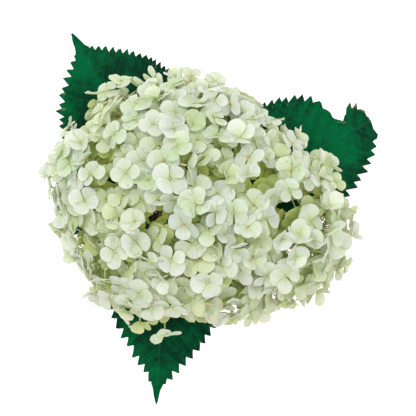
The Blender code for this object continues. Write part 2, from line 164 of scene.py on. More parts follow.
def makeSepalFinish():
    sepal = {
        "white": (0.855, 0.893, 0.80),
        "fresh": (0.54, 0.77, 0.38),  # sepals that haven't whitened yet
        "heart": (0.62, 0.76, 0.26),
        "shaded": (0.66, 0.79, 0.17),
        "warm": (0.78, 0.66, 0.40),
        "vein": (0.67, 0.77, 0.50),
        "fleck": (0.30, 0.60, 0.10),
        "veins": 26.0, "veinSharpness": 5.0, "veinShare": 0.36, "wobble": 2.0,
        "heartReach": 2.2, "heartShare": 0.85, "mottleShare": 0.36, "fleckShare": 0.8,
        "patchScale": 130, "wobbleScale": 700, "mottleScale": 560, "fleckScale": 420, "grainScale": 900,
    }
    mat = newFinish("white_sepal", 0.55, 0.25, Subsurface_Weight=0.4, Subsurface_Scale=0.003)
    mat.node_tree.nodes["Principled BSDF"].inputs["Subsurface Radius"].default_value = (1.0, 0.95, 0.5)
    _, green, deep, warm = splitAttribute(mat, "tint")
    _, across, along, _ = splitAttribute(mat, "petal")
    place = objectPlace(mat)
    patch = cloudy(mat, place, sepal["patchScale"], 2)
    foot = maths(mat, "SUBTRACT", 1.0, along)
    # veins fan out from the sepal's foot
    fan = maths(mat, "ARCTAN2", across, sumOf(mat, along, 0.35))
    wobble = product(mat, cloudy(mat, place, sepal["wobbleScale"], 1), sepal["wobble"])
    line = maths(mat, "SINE", maths(mat, "MULTIPLY_ADD", fan, sepal["veins"], wobble))
    vein = maths(mat, "POWER", maths(mat, "MULTIPLY_ADD", line, 0.5, 0.5), sepal["veinSharpness"])
    freshShare = product(mat, green, maths(mat, "MULTIPLY_ADD", foot, 0.5, 0.5))
    freshShare = sumOf(mat, freshShare, spread(mat, patch, 0.52, 0.72, 0.0, 0.22))
    colour = blend(mat, freshShare, sepal["white"], sepal["fresh"])
    heartShare = product(mat, maths(mat, "POWER", foot, sepal["heartReach"]), sepal["heartShare"])
    colour = blend(mat, heartShare, colour, sepal["heart"])
    colour = blend(mat, product(mat, vein, sepal["veinShare"]), colour, sepal["vein"])
    mottle = cloudy(mat, place, sepal["mottleScale"], 4, 0.65)
    colour = blend(
        mat, spread(mat, mottle, 0.42, 0.6, 0.0, sepal["mottleShare"]), colour, sepal["vein"])
    # flecks show on the greener sepals only
    fleck = spread(mat, cloudy(mat, place, sepal["fleckScale"], 1), 0.66, 0.74)
    fleck = product(mat, fleck, spread(mat, green, 0.1, 0.5))
    colour = blend(mat, product(mat, fleck, sepal["fleckShare"]), colour, sepal["fleck"])
    # warm browns the sepal tips: real fading, plus painted shade on the florets at the front of the head
    rim = product(mat, warm, spread(mat, along, 0.55, 1.0, 0.15, 1.0))
    colour = blend(mat, rim, colour, sepal["warm"])
    # painted shade: the deep share turns sunken florets and those under the rim to the shaded colour, partly
    # the real greener colour of inner florets
    colour = blend(mat, deep, colour, sepal["shaded"])
    roughness = spread(mat, patch, 0.3, 0.7, 0.48, 0.66)
    height = maths(mat, "MULTIPLY_ADD", vein, -0.25, cloudy(mat, place, sepal["grainScale"], 2))
    return joinFinish(mat, colour, roughness, height, 0.0005, 0.9)


def makeSpeckledFinish(name, first, second, scale, roughness, specular=0.4, depth=0.0001, **plain):
    mat = newFinish(name, roughness, specular, **plain)
    place = objectPlace(mat)
    patch = cloudy(mat, place, scale, 4)
    colour = blend(mat, spread(mat, patch, 0.35, 0.65), first, second)
    gloss = spread(mat, patch, 0.3, 0.7, roughness - 0.08, roughness + 0.08)
    return joinFinish(mat, colour, gloss, cloudy(mat, place, scale * 5, 3), depth)


def makeLeafFinish(name, deepGreen, lightGreen, veinGreen, roughness, specular, veinShare):
    leaf = {
        "veinStep": 1.15, "netScale": 420, "coarseScale": 170, "patchScale": 45, "grainScale": 330,
        "quilt": 0.4, "grain": 0.2, "netShare": 0.25, "coarseShare": 0.3,
        "burnt": ((0.30, 0.20, 0.05), (0.45, 0.36, 0.08)),
    }
    mat = newFinish(name, roughness, specular)
    # the third value of blade is painted light, lightening or darkening each half of the blade for its tilt
    _, across, along, tone = splitAttribute(mat, "blade")  # in centimetres from the midrib's foot
    _, scorched, lateral, _ = splitAttribute(mat, "marks")
    place = objectPlace(mat)
    net = spread(mat, cells(mat, place, leaf["netScale"], "DISTANCE_TO_EDGE"), 0.0, 0.12, 1.0, 0.0)
    coarse = spread(mat, cells(mat, place, leaf["coarseScale"], "DISTANCE_TO_EDGE"), 0.0, 0.09, 1.0, 0.0)
    # side veins leave the midrib at a slant and curve to the tip
    slant = maths(mat, "SUBTRACT", along, lateral)
    turns = maths(mat, "FRACT", sumOf(mat, maths(mat, "DIVIDE", slant, leaf["veinStep"]), 0.5))
    offLine = maths(mat, "ABSOLUTE", maths(mat, "SUBTRACT", turns, 0.5))
    sideVein = spread(mat, offLine, 0.012, 0.05, 1.0, 0.0)
    midVein = spread(mat, maths(mat, "ABSOLUTE", across), 0.03, 0.09, 1.0, 0.0)
    veins = maths(mat, "MAXIMUM", sideVein, midVein)
    patch = cloudy(mat, place, leaf["patchScale"], 4, 0.6)
    # each field between two side veins is lit on one slope and shaded on the other, and the foot is darker as
    # painted shadow of the flower head
    quilt = product(mat, maths(mat, "SUBTRACT", turns, 0.5), leaf["quilt"])
    foot = spread(mat, along, 4.0, 8.2, -0.5, 0.3)
    grain = cloudy(mat, place, leaf["grainScale"], 3, 0.65)
    grain = spread(mat, grain, 0.35, 0.65, -leaf["grain"], leaf["grain"])
    shade = sumOf(mat, spread(mat, patch, 0.32, 0.7), tone)
    for part in (quilt, foot, grain):
        shade = sumOf(mat, shade, part)
    shade = sumOf(mat, shade, 0.0, clamped=True)
    colour = blend(mat, shade, deepGreen, lightGreen)
    for lines, share in ((net, leaf["netShare"]), (coarse, leaf["coarseShare"]), (veins, 1)):
        colour = blend(mat, product(mat, lines, share * veinShare), colour, veinGreen)
    colour = blend(mat, scorched, colour, blend(mat, patch, *leaf["burnt"]))
    gloss = spread(mat, patch, 0.3, 0.7, roughness - 0.06, roughness + 0.08)
    height = sumOf(mat, product(mat, net, -0.5), product(mat, coarse, -0.6))
    height = maths(mat, "SUBTRACT", height, product(mat, veins, 1.2))
    return joinFinish(mat, colour, gloss, height, 0.0003, 0.7)


def makeClayFinish():
    clay = {
        "fired": (0.46, 0.175, 0.080),
        "pale": (0.56, 0.245, 0.125),
        "bloom": (0.66, 0.46, 0.34),  # lime that dries on the wall
        "speck": (0.30, 0.12, 0.07),
        "ringScale": 14, "ringSquash": 26, "cloudScale": 55, "patchScale": 22, "gritScale": 900,
    }
    mat = newFinish("fired_clay", 0.85, 0.25)
    place = objectPlace(mat)
    ringPlace = addNode(mat, "Mapping", {"Vector": place, "Scale": (1, 1, clay["ringSquash"])})
    rings = cloudy(mat, ringPlace, clay["ringScale"], 2)  # drawn out round the pot by the thrower's hand
    cloud = cloudy(mat, place, clay["cloudScale"], 4, 0.6)
    patch = cloudy(mat, place, clay["patchScale"], 5, 0.65)
    grit = cells(mat, place, clay["gritScale"])
    tone = maths(mat, "MULTIPLY_ADD", rings, 0.3, product(mat, cloud, 0.7))
    colour = blend(mat, spread(mat, tone, 0.35, 0.65), clay["fired"], clay["pale"])
    colour = blend(mat, spread(mat, patch, 0.55, 0.78, 0.0, 0.65), colour, clay["bloom"])
    colour = blend(mat, spread(mat, grit, 0.08, 0.2, 0.5, 0.0), colour, clay["speck"])
    gloss = spread(mat, patch, 0.3, 0.7, 0.8, 0.95)
    height = product(mat, cloudy(mat, place, clay["gritScale"], 3), 0.35)
    height = sumOf(mat, rings, height)
    return joinFinish(mat, colour, gloss, height, 0.0005, 0.7)


def makeBarkFinish():
    bark = {
        "green": (0.20, 0.30, 0.07), "brown": (0.20, 0.12, 0.055), "pore": (0.48, 0.38, 0.22),
        "woodyHeight": 90 * mm, "streakScale": 70, "poreScale": 480,
    }
    mat = newFinish("stem_bark", 0.68, 0.3)
    place = objectPlace(mat)
    height = addNode(mat, "SeparateXYZ", {0: place}, output="Z")
    woody = spread(mat, height, soilTop, soilTop + bark["woodyHeight"], 1.0, 0.0)
    streakPlace = addNode(mat, "Mapping", {"Vector": place, "Scale": (9, 9, 1)})
    streaks = cloudy(mat, streakPlace, bark["streakScale"], 4)
    woody = sumOf(mat, woody, spread(mat, streaks, 0.4, 0.75, -0.15, 0.35), clamped=True)
    colour = blend(mat, woody, bark["green"], bark["brown"])
    porePlace = addNode(mat, "Mapping", {"Vector": place, "Scale": (1, 1, 0.4)})
    pores = cells(mat, porePlace, bark["poreScale"])
    colour = blend(mat, spread(mat, pores, 0.10, 0.22, 0.8, 0.0), colour, bark["pore"])
    gloss = spread(mat, streaks, 0.3, 0.7, 0.58, 0.78)
    return joinFinish(mat, colour, gloss, maths(mat, "SUBTRACT", streaks, pores), 0.0003, 0.8)


sepalFinish = makeSepalFinish()
eyeFinish = makeSpeckledFinish("orange_eye", (0.88, 0.42, 0.16), (0.84, 0.62, 0.40), 900, 0.5)
greenEyeFinish = makeSpeckledFinish("green_eye", (0.60, 0.72, 0.30), (0.78, 0.82, 0.52), 900, 0.5)
budFinish = makeSpeckledFinish("green_bud", (0.20, 0.42, 0.08), (0.45, 0.62, 0.20), 600, 0.5)
pedicelFinish = makeSpeckledFinish(
    "pale_pedicel", (0.54, 0.50, 0.22), (0.72, 0.72, 0.42), 240, 0.5, Subsurface_Weight=0.1)
stalkFinish = makeSpeckledFinish("flower_stalk_skin", (0.30, 0.40, 0.13), (0.46, 0.52, 0.22), 160, 0.5)
leafTop = makeLeafFinish(
    "leaf_upper_side", (0.003, 0.036, 0.016), (0.0008, 0.125, 0.038), (0.004, 0.175, 0.07), 0.62, 0.03, 0.32)
leafUnder = makeLeafFinish(
    "leaf_under_side", (0.060, 0.150, 0.055), (0.10, 0.21, 0.085), (0.17, 0.29, 0.13), 0.75, 0.1, 0.6)
petioleFinish = makeSpeckledFinish("leaf_stalk_skin", (0.16, 0.27, 0.08), (0.26, 0.36, 0.13), 220, 0.5)
clayFinish = makeClayFinish()
barkFinish = makeBarkFinish()
compostFinish = makeSpeckledFinish(
    "damp_compost", (0.020, 0.013, 0.008), (0.065, 0.042, 0.026), 260, 0.9, 0.2, 0.0012)
chipFinish = makeSpeckledFinish("bark_chip", (0.10, 0.050, 0.024), (0.22, 0.12, 0.06), 180, 0.8, 0.2, 0.0006)
perliteFinish = makeSpeckledFinish("perlite", (0.70, 0.69, 0.65), (0.86, 0.85, 0.82), 700, 0.9, 0.2, 0.0003)
print("finishes mixed")


def toMesh(name, bm):
    mesh = bpy.data.meshes.new(name)
    bm.to_mesh(mesh)
    bm.free()
    return mesh


def addObject(name, data):
    item = bpy.data.objects.new(name, data)
    bpy.context.scene.collection.objects.link(item)
    return item


def finishPiece(name, bm, finishes, nodes, smooth=True, sharpAngle=None):
    mesh = toMesh(name, bm)
    for finish in finishes:
        mesh.materials.append(finish)
    if smooth:
        mesh.shade_smooth()
    if sharpAngle:
        mesh.set_sharp_from_angle(angle=math.radians(sharpAngle))
    piece = addObject(name, mesh)
    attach(piece, "root")
    if nodes:
        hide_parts(*nodes)
    return piece


def growTube(bm, path, radii, sides, index=0):  # a closed tube through the points of a path
    aheads = [(b - a).normalized() for a, b in zip(path, path[1:])]
    first = aheads[0]
    turn = first.to_track_quat("Z", "Y").to_matrix().to_4x4()
    made = bmesh.ops.create_circle(
        bm, cap_ends=True, segments=sides, radius=radii[0], matrix=Matrix.Translation(path[0]) @ turn)
    face = made["verts"][0].link_faces[0]
    face.normal_update()
    if face.normal.dot(first) < 0:
        face.normal_flip()
    face.material_index = index
    kept = face
    last = first
    grown = bmesh.ops.extrude_face_region(bm, geom=[face], use_keep_orig=True)["geom"]
    face = next(item for item in grown if isinstance(item, bmesh.types.BMFace))
    for number in range(1, len(path)):
        if number > 1:
            face = bmesh.ops.extrude_discrete_faces(bm, faces=[face])["faces"][0]
        ahead = (aheads[number - 1] + aheads[min(number, len(aheads) - 1)]).normalized()
        swing = last.rotation_difference(ahead)
        stretch = radii[number] / radii[number - 1]
        for vert in face.verts:
            vert.co = path[number] + swing @ (vert.co - path[number - 1]) * stretch
        last = ahead
    kept.normal_flip()
    for edge in face.edges:
        for side in edge.link_faces:
            side.material_index = index
    return face


def bendPath(start, leave, end, arrive, steps):  # a smooth path that leaves and arrives in given directions
    reach = (end - start).length / 3
    a, b = start + leave.normalized() * reach, end - arrive.normalized() * reach
    path = []
    for step in range(steps + 1):
        t = step / steps
        path.append(start * (1 - t) ** 3 + a * 3 * t * (1 - t) ** 2 + b * 3 * t * t * (1 - t) + end * t ** 3)
    return path


def spinProfile(profile, segments):
    bm = bmesh.new()
    verts = [bm.verts.new((radius, 0, height)) for radius, height in profile]
    edges = [bm.edges.new(pair) for pair in zip(verts, verts[1:])]
    bmesh.ops.spin(
        bm, geom=verts + edges, cent=(0, 0, 0), axis=up, angle=fullTurn, steps=segments, use_merge=True)
    bmesh.ops.remove_doubles(bm, verts=bm.verts, dist=1e-6)
    bmesh.ops.recalc_face_normals(bm, faces=bm.faces)
    return bm


potShape = {
    "collarRadius": 62 * mm, "collarHeight": 17 * mm, "collarStep": 2.6 * mm, "baseRadius": 44 * mm,
    "wall": 4 * mm, "floor": 5 * mm, "edge": 1.2 * mm, "holes": 4, "holeRadius": 5 * mm,
    "holeCircle": 24 * mm, "segments": 96,
}
wallTop = potShape["collarRadius"] - potShape["collarStep"]


def potInside(height):  # inner radius of the pot at a height
    share = height / (potTop - potShape["edge"])
    return potShape["baseRadius"] + (wallTop - potShape["baseRadius"]) * share - potShape["wall"]


def makePot():
    edge, collar, base = potShape["edge"], potShape["collarRadius"], potShape["baseRadius"]
    collarFoot = potTop - potShape["collarHeight"]
    profile = [(0, potShape["floor"]), (potInside(potShape["floor"]) - 2 * mm, potShape["floor"])]
    steps = 14
    for step in range(steps + 1):
        height = potShape["floor"] + 2 * mm + (potTop - edge - potShape["floor"] - 2 * mm) * step / steps
        profile.append((potInside(height), height))
    profile += [
        (potInside(potTop) + edge * 0.35, potTop - edge * 0.3), (potInside(potTop) + edge, potTop),
        (collar - edge, potTop), (collar - edge * 0.3, potTop - edge * 0.3), (collar, potTop - edge),
        (collar - 0.1 * mm, potTop - 6 * mm), (collar - 0.3 * mm, potTop - 12 * mm),
        (collar - 0.6 * mm, collarFoot + 0.8 * mm), (collar - 1.4 * mm, collarFoot),
        (wallTop + 0.3 * mm, collarFoot - 0.2 * mm), (wallTop - 0.2 * mm, collarFoot - 1.2 * mm),
    ]
    for step in range(1, steps + 1):
        share = step / steps
        height = collarFoot - edge + (2 * edge - collarFoot) * share
        profile.append((wallTop + (base - wallTop) * share, height))
    profile += [(base - edge * 0.3, edge * 0.3), (base - edge, 0), (0, 0)]
    pot = finishPiece("pot_clay", spinProfile(profile, potShape["segments"]), [clayFinish], ["pot"])
    for number in range(potShape["holes"]):
        angle = fullTurn * (number + 0.5) / potShape["holes"]
        place = (
            potShape["holeCircle"] * math.cos(angle), potShape["holeCircle"] * math.sin(angle),
            potShape["floor"] / 2)
        cutterShape = bmesh.new()
        bmesh.ops.create_cone(
            cutterShape, cap_ends=True, segments=24, radius1=potShape["holeRadius"],
            radius2=potShape["holeRadius"], depth=20 * mm, matrix=Matrix.Translation(place))
        cutter = addObject("drain_cutter", toMesh("drain_cutter", cutterShape))
        drain = pot.modifiers.new("drain", "BOOLEAN")
        drain.object = cutter
        drain.operation = "DIFFERENCE"
        bpy.context.view_layer.update()
        drilled = bpy.data.meshes.new_from_object(pot.evaluated_get(bpy.context.evaluated_depsgraph_get()))
        pot.modifiers.clear()
        pot.data = drilled
        bpy.data.objects.remove(cutter)
    pot.data.shade_smooth()
    pot.data.set_sharp_from_angle(angle=math.radians(40))
    return pot


makePot()
print("pot turned and drilled")


compostShape = {
    "slope": 1.3, "well": 5.3 * mm, "wellDepth": 38.3 * mm, "floor": 5.3 * mm, "gap": 0.3 * mm,
    "crumbs": 420, "chips": 50, "grains": 34, "segments": 96, "rings": 34, "seed": 5,
}


def compostHeight(radius):
    inside = potInside(soilTop) - compostShape["gap"]
    share = clamp(radius / inside)
    return soilTop + mound * (1 - share) ** compostShape["slope"]


def roughGround(x, y):  # level of the compost's rough top
    radius = math.hypot(x, y)
    calm = ease(potInside(soilTop) - 0.3 * mm, potInside(soilTop) - 5 * mm, radius) if radius > 8 * mm else 0
    lumps = noise.noise((x * 140, y * 140, 0.3)) * 1.1 + noise.noise((x * 420, y * 420, 4.2)) * 0.6
    return compostHeight(radius) + lumps * mm * calm - 0.6 * mm * calm


def makeCompost():
    inside = potInside(soilTop) - compostShape["gap"]
    well, floor = compostShape["well"], compostShape["floor"]
    profile = [(0, soilTop - compostShape["wellDepth"]), (well, soilTop - compostShape["wellDepth"])]
    for step in range(compostShape["rings"] + 1):
        radius = well + (inside - well) * step / compostShape["rings"]
        profile.append((radius, compostHeight(radius)))
    profile += [(potInside(floor) - compostShape["gap"], floor), (0, floor)]
    bm = spinProfile(profile, compostShape["segments"])
    for vert in bm.verts:
        radius = math.hypot(vert.co.x, vert.co.y)
        if vert.co.z > soilTop - 1 * mm and well + 0.5 * mm < radius < inside - 0.4 * mm:
            vert.co.z = roughGround(vert.co.x, vert.co.y)
    finishPiece("compost_fill", bm, [compostFinish], ["soil"], sharpAngle=60)

    dice = random.Random(compostShape["seed"])

    def scatter(count, reach=0.94):  # even but irregular places on the compost
        for number in range(count):
            radius = (inside * reach) * math.sqrt((number + 0.5) / count)
            angle = number * goldenAngle + dice.uniform(-0.4, 0.4)
            radius = max(9 * mm, radius + dice.uniform(-1.5, 1.5) * mm)
            x, y = radius * math.cos(angle), radius * math.sin(angle)
            yield Vector((x, y, roughGround(x, y)))

    bm = bmesh.new()
    for place in scatter(compostShape["crumbs"]):
        size = dice.uniform(0.9, 2.4) * mm
        made = bmesh.ops.create_icosphere(bm, subdivisions=1, radius=size)
        squeeze = Matrix.Diagonal((dice.uniform(0.7, 1.3), dice.uniform(0.7, 1.3), dice.uniform(0.5, 0.9), 1))
        turn = Matrix.Rotation(dice.uniform(0, fullTurn), 4, dice.choice("XYZ"))
        for vert in made["verts"]:
            vert.co *= 1 + 0.25 * noise.noise(vert.co * 900 + place * 400)
        bmesh.ops.transform(bm, matrix=Matrix.Translation(place) @ turn @ squeeze, verts=made["verts"])
    finishPiece("compost_crumbs", bm, [compostFinish], ["soil"])

    bm = bmesh.new()
    for place in scatter(compostShape["chips"], 0.9):
        made = bmesh.ops.create_cube(bm, size=1)
        length, width, height = [dice.uniform(*limits) * mm for limits in ((4, 10), (2.5, 5), (1, 2))]
        turn = Matrix.Rotation(dice.uniform(0, fullTurn), 4, "Z")
        for axis in "XY":
            turn = turn @ Matrix.Rotation(dice.uniform(-0.35, 0.35), 4, axis)
        turn = Matrix.Translation(place + up * 0.3 * mm) @ turn @ Matrix.Diagonal((length, width, height, 1))
        bmesh.ops.transform(bm, matrix=turn, verts=made["verts"])
        edges = list({edge for vert in made["verts"] for edge in vert.link_edges})
        bmesh.ops.bevel(bm, geom=edges, offset=0.35 * mm, segments=1, affect="EDGES", profile=0.5, material=-1)
    for vert in bm.verts:
        vert.co += noise.noise_vector(vert.co * 420) * 0.5 * mm
    finishPiece("bark_chips", bm, [chipFinish], ["soil"], smooth=False)

    bm = bmesh.new()
    for place in scatter(compostShape["grains"]):
        size = dice.uniform(0.7, 1.7) * mm
        made = bmesh.ops.create_icosphere(
            bm, subdivisions=1, radius=size, matrix=Matrix.Translation(place + up * size * 0.3))
        for vert in made["verts"]:
            vert.co += noise.noise_vector(vert.co * 700) * 0.35 * mm
    finishPiece("perlite_grains", bm, [perliteFinish], ["soil"])


makeCompost()
print("compost filled")


stemShape = {
    "footRadius": 5 * mm, "topRadius": 3.4 * mm, "swell": 1 * mm, "reach": 6 * mm, "planted": 38 * mm,
    "sides": 24, "rings": 76, "ridges": 6,
}


def stemRadius(height):
    foot = soilTop - stemShape["planted"]
    share = clamp((height - foot) / (stemTop - foot))
    nearest = min(abs(height - lowerWhorl), abs(height - upperWhorl))
    radius = stemShape["footRadius"] + (stemShape["topRadius"] - stemShape["footRadius"]) * share
    return radius + stemShape["swell"] * max(0, 1 - nearest / stemShape["reach"])


def makeStem():
    bm = bmesh.new()
    foot = soilTop - stemShape["planted"]
    rings = stemShape["rings"]
    path = [Vector((0, 0, foot + (stemTop - foot) * ring / rings)) for ring in range(rings + 1)]
    growTube(bm, path, [stemRadius(point.z) for point in path], stemShape["sides"])
    for vert in bm.verts:  # faint ridges that run up the stem
        angle = math.atan2(vert.co.y, vert.co.x)
        uneven = noise.noise((vert.co.x * 200, vert.co.y * 200, vert.co.z * 60))
        inset = 0.12 * mm * (1 + math.sin(stemShape["ridges"] * angle)) + 0.1 * mm * uneven
        radius = math.hypot(vert.co.x, vert.co.y)
        if radius > 1 * mm:
            vert.co.x *= 1 - inset / radius
            vert.co.y *= 1 - inset / radius
    bmesh.ops.recalc_face_normals(bm, faces=bm.faces)
    finishPiece("stem_bark", bm, [barkFinish], ["stem"], sharpAngle=50)


makeStem()
print("stem grown")


# half widths along a blade, from its foot to its tip
leafFoot = ((0.00, 0.07), (0.03, 0.34), (0.06, 0.60), (0.10, 0.78))
leafTip = ((0.91, 0.065), (0.95, 0.04), (1.00, 0.008))
pointedOutline = (
    *leafFoot, (0.16, 0.93), (0.24, 0.99), (0.32, 1.00), (0.48, 0.96), (0.60, 0.82), (0.70, 0.59),
    (0.78, 0.36), (0.83, 0.20), (0.87, 0.115), *leafTip,
)
frontLeftOutline = (
    *leafFoot, (0.16, 0.93), (0.24, 1.00), (0.32, 1.02), (0.48, 0.96), (0.60, 0.75), (0.70, 0.51),
    (0.78, 0.32), (0.83, 0.19), (0.87, 0.115), *leafTip,
)
frontRightOutline = (
    *leafFoot, (0.16, 0.94), (0.24, 1.03), (0.32, 1.06), (0.42, 1.01), (0.50, 0.88), (0.60, 0.66),
    (0.70, 0.43), (0.78, 0.25), (0.83, 0.155), (0.87, 0.10), *leafTip,
)
bluntOutline = (
    (0.00, 0.07), (0.03, 0.34), (0.06, 0.58), (0.10, 0.77), (0.16, 0.91), (0.26, 1.01), (0.36, 1.04),
    (0.50, 0.99), (0.62, 0.89), (0.76, 0.69), (0.88, 0.48), (0.95, 0.32), (1.00, 0.06),
)
bittenOutline = (
    (0.00, 0.07), (0.03, 0.36), (0.06, 0.62), (0.10, 0.82), (0.16, 0.94), (0.26, 1.00), (0.36, 1.00),
    (0.50, 0.96), (0.62, 0.87), (0.74, 0.67), (0.80, 0.52), (0.86, 0.40), (0.91, 0.36), (0.96, 0.29),
    (1.00, 0.06),
)
# pairs are for the left and right half; slopes are at the stem and at the tip, in degrees; the pair that
# lightens or darkens each half is painted light, for how that half tilts to the light
plainLeaf = {
    "height": upperWhorl, "outlines": (pointedOutline, pointedOutline), "sides": (1, 1), "toothed": 0.86,
    "slopes": (16, -24),
}
leafShapes = {
    "leaf_right": {
        "outlines": (bittenOutline, bluntOutline), "azimuth": 16.2, "turn": 15, "petiole": 20 * mm,
        "blade": 117 * mm, "width": 80 * mm, "teeth": (23, 21), "toothed": 0.985, "slopes": (14, -38),
        "fold": 8, "paintedSideLight": (-0.1, -0.2), "seed": 3,
        "bite": (0.685, 0.785, 0.835, 0.88, 10 * mm),  # begins, deepest from, to, ends, depth
    },
    "leaf_back_left": {
        "azimuth": 121.6, "turn": 0, "petiole": 18 * mm, "blade": 106 * mm, "width": 81 * mm,
        "sides": (0.96, 1.03), "teeth": (23, 30), "fold": 7, "paintedSideLight": (0.05, -0.35), "seed": 5,
    },
    "leaf_front": {
        "outlines": (frontLeftOutline, frontRightOutline), "azimuth": 262.5, "turn": 4, "petiole": 18 * mm,
        "blade": 108 * mm, "width": 68 * mm, "teeth": (18, 17), "fold": 9, "paintedSideLight": (-0.15, -0.05), "seed": 8,
    },
    "lower_leaf_back": {
        "height": lowerWhorl, "azimuth": 73, "turn": 5, "petiole": 12 * mm, "blade": 64 * mm,
        "width": 42 * mm, "teeth": (15, 15), "slopes": (30, -50), "fold": 12, "paintedSideLight": (0.1, 0.0), "seed": 13,
    },
    "lower_leaf_left": {
        "height": lowerWhorl, "azimuth": 190, "turn": -5, "petiole": 13 * mm, "blade": 70 * mm,
        "width": 45 * mm, "teeth": (16, 16), "slopes": (28, -52), "fold": 12, "paintedSideLight": (0.0, 0.1), "seed": 21,
    },
    "lower_leaf_right": {
        "height": lowerWhorl, "azimuth": 322, "turn": 6, "petiole": 14 * mm, "blade": 74 * mm,
        "width": 48 * mm, "teeth": (17, 17), "slopes": (26, -48), "fold": 12, "paintedSideLight": (0.05, 0.0), "seed": 34,
    },
}
bladeShape = {
    "thickness": 0.5 * mm, "tooth": 3.4 * mm, "lean": 3.0 * mm, "columns": 32, "veinStep": 11.5 * mm,
    "lateBend": 1.6, "scorched": (0.88, 0.93), "midrib": (1.5 * mm, 0.2 * mm),
}


def midribLine(leaf, steps):  # (point, direction along, direction to the left) from the stem to the tip
    point = levelDirection(leaf["azimuth"]) * (stemRadius(leaf["height"]) + 0.3 * mm) + up * leaf["height"]
    line = []
    first, last = leaf["slopes"]
    for step in range(steps + 1):
        share = step / steps
        slope = math.radians(first + (last - first) * share ** bladeShape["lateBend"])
        out = levelDirection(leaf["azimuth"] + leaf["turn"] * share)
        along = out * math.cos(slope) + up * math.sin(slope)
        line.append((point.copy(), along, up.cross(out)))
        point += along * (leaf["petiole"] + leaf["blade"]) / steps
    return line


def lineAt(line, share):
    place = clamp(share) * (len(line) - 1)
    low = min(int(place), len(line) - 2)
    part = place - low
    return [line[low][i].lerp(line[low + 1][i], part) for i in range(3)]


def veinRun(across):  # how far along the blade a side vein gets on its way out to here
    return 0.75 * across + 6.0 * across ** 2


def bladeRelief(leaf, side, share, across, half):  # sunk veins, quilting between them and a wavy margin
    step = bladeShape["veinStep"]
    off = abs(((share * leaf["blade"] - veinRun(across)) / step + 0.5) % 1 - 0.5) * step
    sunk = math.exp(-(off / (2.2 * mm)) ** 2) * ease(0, 4 * mm, half) * ease(0, 4 * mm, across)
    relief = -0.95 * mm * sunk - 0.9 * mm * math.exp(-(across / (1.5 * mm)) ** 2) * (1 - share)
    crumple = noise.noise(Vector((side * 6, share * 17, leaf["seed"] + 7.0)))
    relief += 0.5 * mm * crumple * ease(0, 5 * mm, across)
    relief += 0.7 * mm * noise.noise(Vector((side * 2.2, share * 7, leaf["seed"])))
    wave = noise.noise(Vector((side * 0.7, share * 9, leaf["seed"] + 3.0)))
    return relief + 1.8 * mm * abs(side) ** 3 * wave


def giveThickness(bm, sheet, thickness, underIndex):  # closes a sheet with an under side and a rim
    bm.normal_update()
    lowered = {vert: vert.normal.copy() * thickness for face in sheet for vert in face.verts}
    bmesh.ops.extrude_face_region(bm, geom=sheet, use_keep_orig=True)
    for vert, drop in lowered.items():
        vert.co -= drop
    for face in sheet:
        face.normal_flip()
        face.material_index = underIndex


